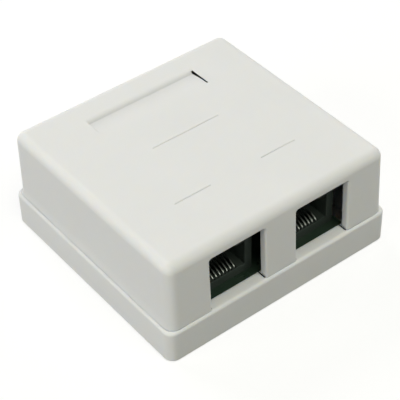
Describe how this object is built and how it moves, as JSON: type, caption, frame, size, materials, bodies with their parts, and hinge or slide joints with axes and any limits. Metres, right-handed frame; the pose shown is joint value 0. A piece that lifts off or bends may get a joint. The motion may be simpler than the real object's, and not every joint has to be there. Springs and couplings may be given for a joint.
{
  "type": "surface mount jack box",
  "caption": "Rectangular surface mount box for network cabling, with a clip-on cover over modular jacks and punch-down blocks on a circuit board.",
  "frame": {"origin": "centre of the base's underside, on the wall or desk that it is fixed to", "axes": "+Z out of the wall through the cover's top, -Y out of the ports, +X to the right seen from the front"},
  "size_m": [0.064, 0.0614, 0.0271],
  "materials": {
    "case": "fine satin, moulded, warm white",
    "board": "green solder mask over glass laminate",
    "jack": "black moulded, satin",
    "contacts": "gold plated spring wire",
    "block": "black moulded, satin",
    "blades": "tin plated, bright",
    "screws": "zinc plated"
  },
  "bodies": {
    "case": {"base": "case", "board_screw": "screws", "circuit_board": "board", "contact_carrier_left": "jack", "contact_carrier_right": "jack", "front_row_contacts_left": "contacts", "front_row_contacts_right": "contacts", "idc_blades_left_back": "blades", "idc_blades_left_front": "blades", "idc_blades_right_back": "blades", "idc_blades_right_front": "blades", "idc_block_left_back": "block", "idc_block_left_front": "block", "idc_block_right_back": "block", "idc_block_right_front": "block", "jack_housing_left": "jack", "jack_housing_right": "jack", "rear_row_contacts_left": "contacts", "rear_row_contacts_right": "contacts"},
    "lid": {"cover": "case"}
  },
  "joints": [
    {"name": "cover_lift", "type": "slide", "parent": "case", "child": "lid", "axis": [0, 0, 1], "range_m": [0, 0.03]}
  ]
}
